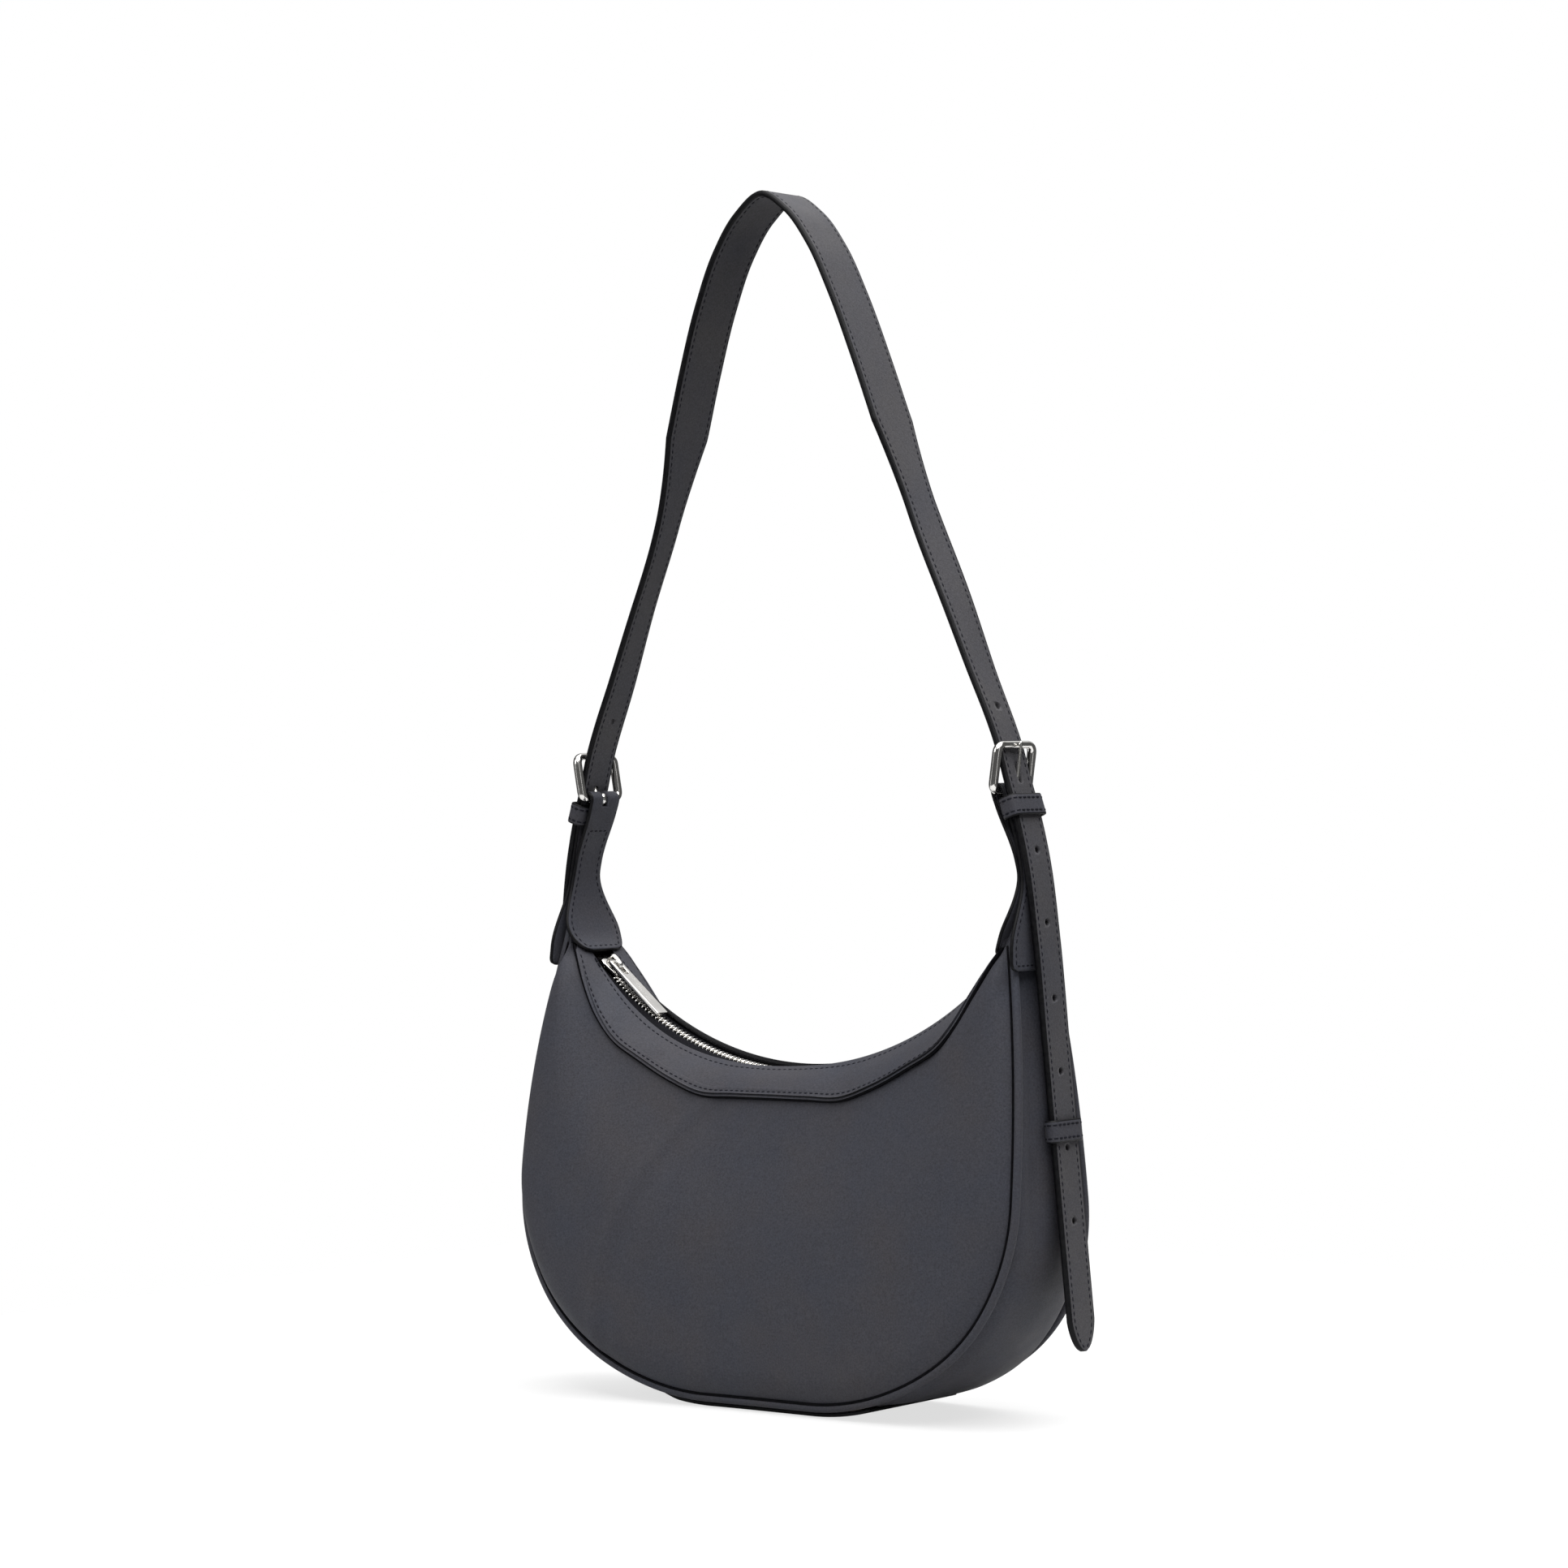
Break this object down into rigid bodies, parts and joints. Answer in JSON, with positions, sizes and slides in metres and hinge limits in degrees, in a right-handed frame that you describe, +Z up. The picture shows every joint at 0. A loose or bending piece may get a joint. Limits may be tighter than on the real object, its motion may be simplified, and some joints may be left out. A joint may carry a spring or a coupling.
{
  "type": "half moon shoulder bag",
  "caption": "Half moon shoulder bag: crescent leather body with a curved top zip, a yoke, piped side gussets and an adjustable strap buckled to folded tabs at the horns.",
  "frame": {"origin": "middle of the flat base, on the surface that the bag stands on", "axes": "+X to the bag's right seen from the front, -Y out of the front panel, +Z up to the strap's top"},
  "size_m": [0.3302, 0.0814, 0.5866],
  "materials": {
    "nubuck_leather": "matte nubuck",
    "lining_cloth": "woven twill",
    "zip_tape": "woven",
    "nickel_metal": "polished nickel",
    "fibre_board": "matte"
  },
  "bodies": {
    "bag_body": {"front_panel": "nubuck_leather", "back_panel": "nubuck_leather", "left_gusset": "nubuck_leather", "right_gusset": "nubuck_leather", "base_panel": "nubuck_leather", "front_yoke": "nubuck_leather", "back_yoke": "nubuck_leather", "front_piping": "nubuck_leather", "back_piping": "nubuck_leather", "left_tab": "nubuck_leather", "right_tab": "nubuck_leather", "left_fixed_keeper": "nubuck_leather", "right_fixed_keeper": "nubuck_leather", "strap_outer": "nubuck_leather", "strap_lining": "nubuck_leather", "front_lining": "lining_cloth", "back_lining": "lining_cloth", "slip_pocket": "lining_cloth", "zip_tape_front": "zip_tape", "zip_tape_back": "zip_tape", "zip_teeth_front": "nickel_metal", "zip_teeth_back": "nickel_metal", "zip_stops": "nickel_metal", "left_buckle": "nickel_metal", "right_buckle": "nickel_metal", "base_board": "fibre_board"},
    "zip_slider": {"zip_slider": "nickel_metal"},
    "zip_pull": {"zip_pull": "nickel_metal"},
    "left_prong": {"left_prong": "nickel_metal"},
    "right_prong": {"right_prong": "nickel_metal"},
    "left_floating_keeper": {"left_floating_keeper": "nubuck_leather"},
    "right_floating_keeper": {"right_floating_keeper": "nubuck_leather"}
  },
  "joints": [
    {"name": "zip_slide", "type": "hinge", "parent": "bag_body", "child": "zip_slider", "pos_m": [0, 0, 0.34347], "axis": [0, -1, 0], "range_deg": [0, 72], "deforming": ["zip_tape_front", "zip_tape_back", "zip_teeth_front", "zip_teeth_back"]},
    {"name": "pull_swing", "type": "hinge", "parent": "zip_slider", "child": "zip_pull", "pos_m": [-0.12051, 0, 0.21129], "axis": [0, -1, 0], "range_deg": [0, 135]},
    {"name": "right_prong_swing", "type": "hinge", "parent": "bag_body", "child": "right_prong", "pos_m": [0.128, 0, 0.294], "axis": [0, 1, 0], "range_deg": [0, 10]},
    {"name": "left_prong_swing", "type": "hinge", "parent": "bag_body", "child": "left_prong", "pos_m": [-0.128, 0, 0.294], "axis": [0, -1, 0], "range_deg": [0, 10]},
    {"name": "right_keeper_slide", "type": "slide", "parent": "bag_body", "child": "right_floating_keeper", "axis": [0.0859, 0, -0.9963], "range_m": [-0.055, 0.075]},
    {"name": "left_keeper_slide", "type": "slide", "parent": "bag_body", "child": "left_floating_keeper", "axis": [-0.0859, 0, -0.9963], "range_m": [-0.055, 0.075]}
  ]
}
